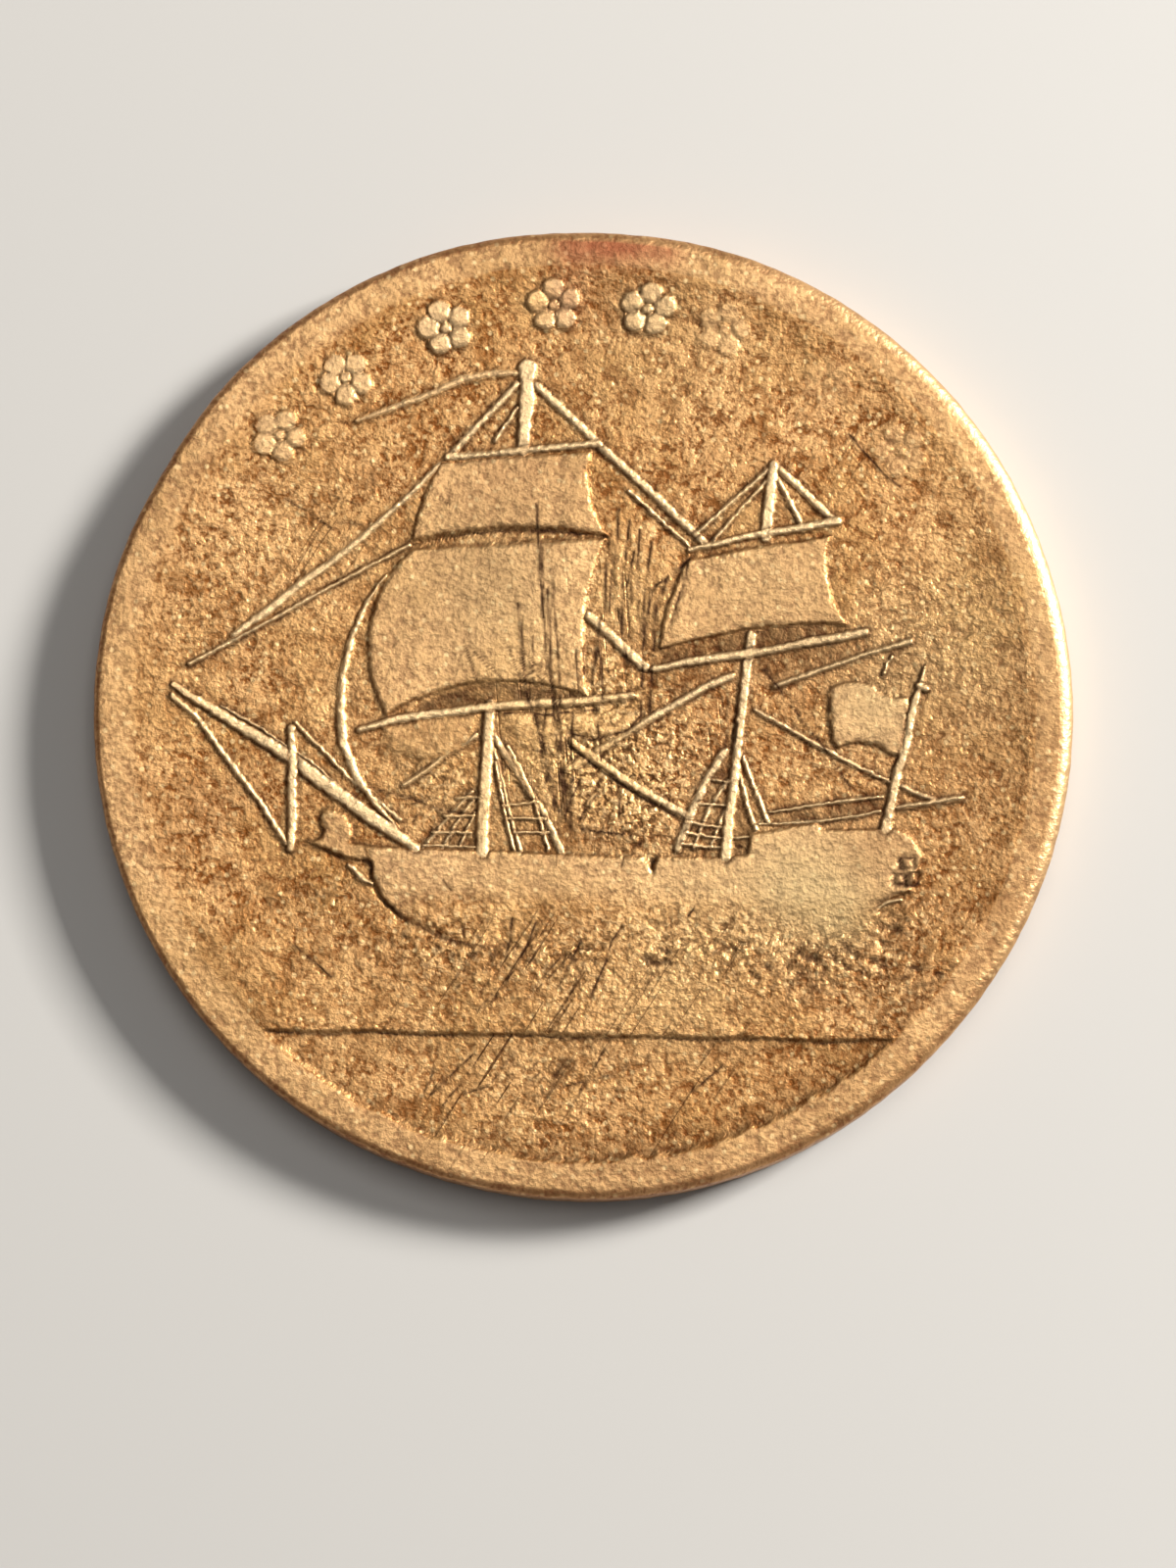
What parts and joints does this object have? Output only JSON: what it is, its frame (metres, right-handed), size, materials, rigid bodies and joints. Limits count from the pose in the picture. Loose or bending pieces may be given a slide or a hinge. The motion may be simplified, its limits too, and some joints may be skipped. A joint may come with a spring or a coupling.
{
  "type": "struck trade token",
  "caption": "Round worn copper token with a raised ship under sail, a ring of rosettes and a low rim; plain wreath and anchor on the back.",
  "frame": {"origin": "centre of the underside, on the plane of the back rim", "axes": "+Z out of the ship side, along the token's thickness; +Y to twelve o'clock of the ship; +X to three o'clock"},
  "size_m": [0.0285, 0.0284, 0.0018],
  "materials": {
    "worn_copper": "worn, toned copper"
  },
  "bodies": {
    "root": {"struck_token": "worn_copper"}
  },
  "joints": []
}
